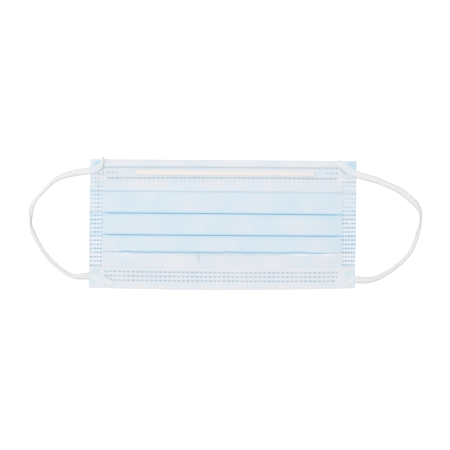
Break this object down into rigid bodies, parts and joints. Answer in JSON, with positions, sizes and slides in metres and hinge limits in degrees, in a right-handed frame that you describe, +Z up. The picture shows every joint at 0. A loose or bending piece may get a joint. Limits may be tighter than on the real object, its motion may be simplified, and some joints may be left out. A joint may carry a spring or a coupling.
{
  "type": "surgical face mask",
  "caption": "Pleated nonwoven face mask lying flat with its blue front up, a nose wire in its top hem, welded edges and flat elastic ear loops.",
  "frame": {"origin": "on the surface the mask lies on, under the middle of its cloth", "axes": "+X to the right along the pleats as seen from the front, +Y towards the nose edge, +Z up out of the mask's blue front"},
  "size_m": [0.2611, 0.0876, 0.0041],
  "materials": {
    "web": "pale blue spunbond polypropylene nonwoven, calendered, matt",
    "hem": "white spunbond polypropylene nonwoven, matt, with ultrasonic weld marks",
    "nose_wire": "white polyethylene sleeve over a steel wire, satin",
    "elastic": "off-white knitted flat elastic with fine lengthwise ribs"
  },
  "bodies": {
    "root": {"pleated_panel": "web", "top_hem": "hem", "bottom_hem": "hem", "nose_wire": "nose_wire", "ear_loop_left": "elastic", "ear_loop_right": "elastic"}
  },
  "joints": []
}
